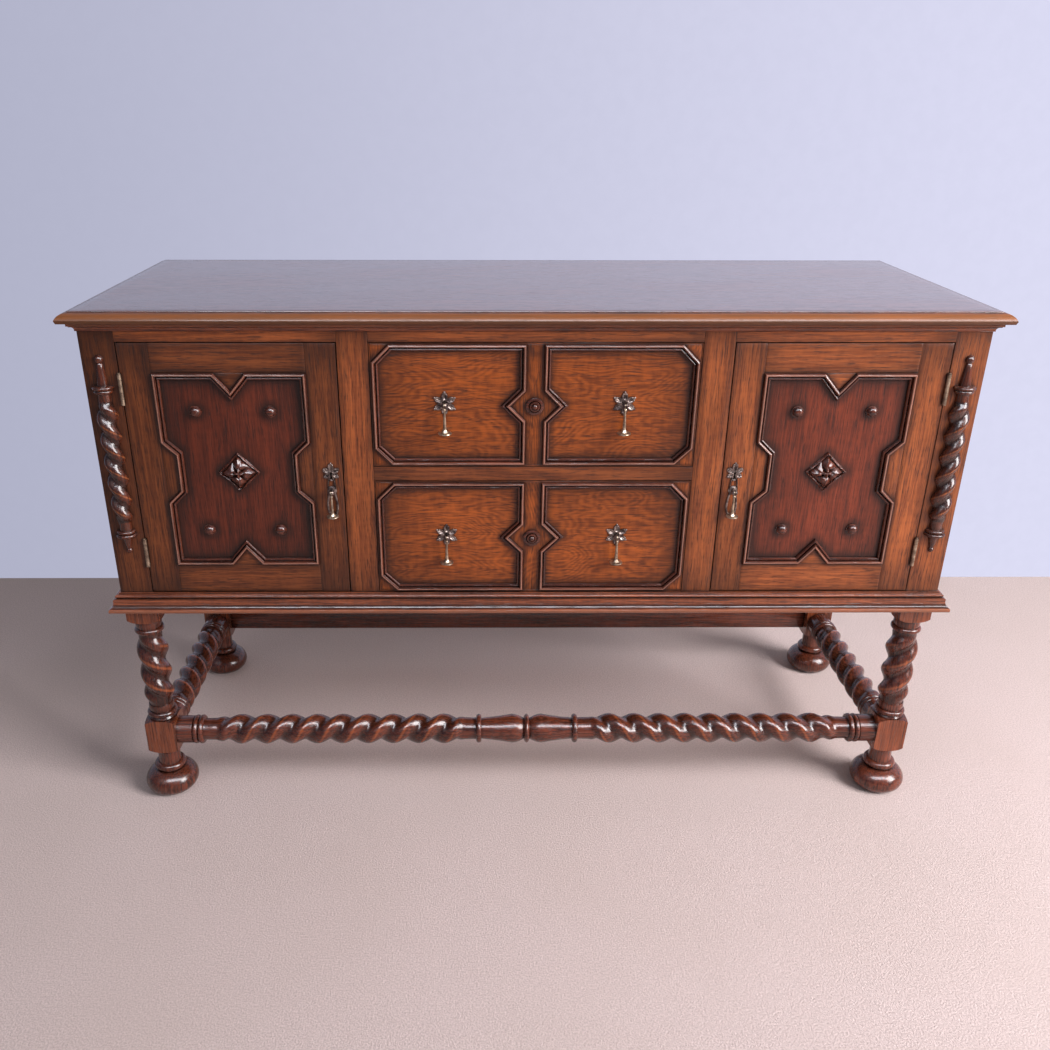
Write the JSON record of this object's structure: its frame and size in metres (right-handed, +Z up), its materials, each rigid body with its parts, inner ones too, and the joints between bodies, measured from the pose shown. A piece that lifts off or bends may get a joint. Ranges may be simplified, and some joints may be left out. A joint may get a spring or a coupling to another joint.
{
  "type": "dresser base",
  "caption": "Jacobean style oak dresser base on a stand of twist turned legs and stretchers, panelled cupboard doors either side of stacked drawers, drop handles.",
  "frame": {"origin": "on the floor under the middle of the top board", "axes": "+X to the right seen from the front, +Y to the back, +Z up"},
  "size_m": [1.446, 0.519, 0.906],
  "materials": {
    "top_oak": "mid brown oak, waxed satin polish",
    "frame_oak": "mid brown oak, shaded darker at joints, satin polish",
    "panel_oak": "dark red brown oak, satin polish",
    "drawer_oak": "orange brown figured oak, satin polish",
    "dark_oak": "very dark stained oak, worn lighter on the high edges, gloss polish",
    "inside_oak": "plain unpolished oak",
    "aged_brass": "aged silvery brass, dark in the hollows",
    "lock_iron": "dull dark iron"
  },
  "bodies": {
    "carcase": {"top_board": "top_oak", "top_moulding": "top_oak", "base_moulding": "frame_oak", "front_rails": "frame_oak", "muntins": "frame_oak", "end_panels": "frame_oak", "end_rails": "frame_oak", "front_stiles": "frame_oak", "rear_posts": "frame_oak", "back_panel": "inside_oak", "back_rails": "inside_oak", "bottom_board": "inside_oak", "partitions": "inside_oak", "shelves": "inside_oak", "shelf_bearers": "inside_oak", "drawer_runners": "inside_oak", "leg_front_left": "dark_oak", "leg_front_right": "dark_oak", "leg_rear_left": "dark_oak", "leg_rear_right": "dark_oak", "stretcher_front": "dark_oak", "stretcher_left": "dark_oak", "stretcher_right": "dark_oak", "stretcher_rear": "dark_oak", "split_turnings": "dark_oak", "stile_hinges_left": "aged_brass", "stile_hinges_right": "aged_brass"},
    "door_left": {"door_left_frame": "frame_oak", "door_left_panel": "panel_oak", "door_left_moulding": "dark_oak", "door_left_bosses": "dark_oak", "door_left_hinge_leaves": "aged_brass", "door_left_lock": "lock_iron", "door_left_pull_plate": "aged_brass"},
    "door_left_bolt": {"door_left_lock_bolt": "lock_iron"},
    "door_left_drop": {"door_left_pull_drop": "aged_brass"},
    "door_right": {"door_right_frame": "frame_oak", "door_right_panel": "panel_oak", "door_right_moulding": "dark_oak", "door_right_bosses": "dark_oak", "door_right_hinge_leaves": "aged_brass", "door_right_lock": "lock_iron", "door_right_pull_plate": "aged_brass"},
    "door_right_bolt": {"door_right_lock_bolt": "lock_iron"},
    "door_right_drop": {"door_right_pull_drop": "aged_brass"},
    "drawer_lower": {"drawer_lower_front": "drawer_oak", "drawer_lower_box": "inside_oak", "drawer_lower_moulding": "dark_oak", "drawer_lower_boss": "dark_oak", "drawer_lower_handle_plates": "aged_brass"},
    "drawer_lower_drop_left": {"drawer_lower_drop_left": "aged_brass"},
    "drawer_lower_drop_right": {"drawer_lower_drop_right": "aged_brass"},
    "drawer_upper": {"drawer_upper_front": "drawer_oak", "drawer_upper_box": "inside_oak", "drawer_upper_moulding": "dark_oak", "drawer_upper_boss": "dark_oak", "drawer_upper_handle_plates": "aged_brass"},
    "drawer_upper_drop_left": {"drawer_upper_drop_left": "aged_brass"},
    "drawer_upper_drop_right": {"drawer_upper_drop_right": "aged_brass"}
  },
  "joints": [
    {"name": "door_left_hinge", "type": "hinge", "parent": "carcase", "child": "door_left", "pos_m": [-0.645, -0.239, 0.6427], "axis": [0, 0, -1], "range_deg": [0, 100]},
    {"name": "door_left_bolt_slide", "type": "slide", "parent": "door_left", "child": "door_left_bolt", "axis": [1, 0, 0], "range_m": [0, 0.008]},
    {"name": "door_left_drop_swing", "type": "hinge", "parent": "door_left", "child": "door_left_drop", "pos_m": [-0.3276, -0.249, 0.614], "axis": [-1, 0, 0], "range_deg": [0, 80]},
    {"name": "door_right_hinge", "type": "hinge", "parent": "carcase", "child": "door_right", "pos_m": [0.645, -0.239, 0.6427], "axis": [0, 0, 1], "range_deg": [0, 100]},
    {"name": "door_right_bolt_slide", "type": "slide", "parent": "door_right", "child": "door_right_bolt", "axis": [-1, 0, 0], "range_m": [0, 0.008]},
    {"name": "door_right_drop_swing", "type": "hinge", "parent": "door_right", "child": "door_right_drop", "pos_m": [0.3276, -0.249, 0.614], "axis": [-1, 0, 0], "range_deg": [0, 80]},
    {"name": "drawer_lower_slide", "type": "slide", "parent": "carcase", "child": "drawer_lower", "axis": [0, -1, 0], "range_m": [0, 0.33]},
    {"name": "drawer_lower_drop_left_swing", "type": "hinge", "parent": "drawer_lower", "child": "drawer_lower_drop_left", "pos_m": [-0.142, -0.2445, 0.53212], "axis": [-1, 0, 0], "range_deg": [0, 80]},
    {"name": "drawer_lower_drop_right_swing", "type": "hinge", "parent": "drawer_lower", "child": "drawer_lower_drop_right", "pos_m": [0.142, -0.2445, 0.53212], "axis": [-1, 0, 0], "range_deg": [0, 80]},
    {"name": "drawer_upper_slide", "type": "slide", "parent": "carcase", "child": "drawer_upper", "axis": [0, -1, 0], "range_m": [0, 0.33]},
    {"name": "drawer_upper_drop_left_swing", "type": "hinge", "parent": "drawer_upper", "child": "drawer_upper_drop_left", "pos_m": [-0.142, -0.2445, 0.75938], "axis": [-1, 0, 0], "range_deg": [0, 80]},
    {"name": "drawer_upper_drop_right_swing", "type": "hinge", "parent": "drawer_upper", "child": "drawer_upper_drop_right", "pos_m": [0.142, -0.2445, 0.75938], "axis": [-1, 0, 0], "range_deg": [0, 80]}
  ]
}
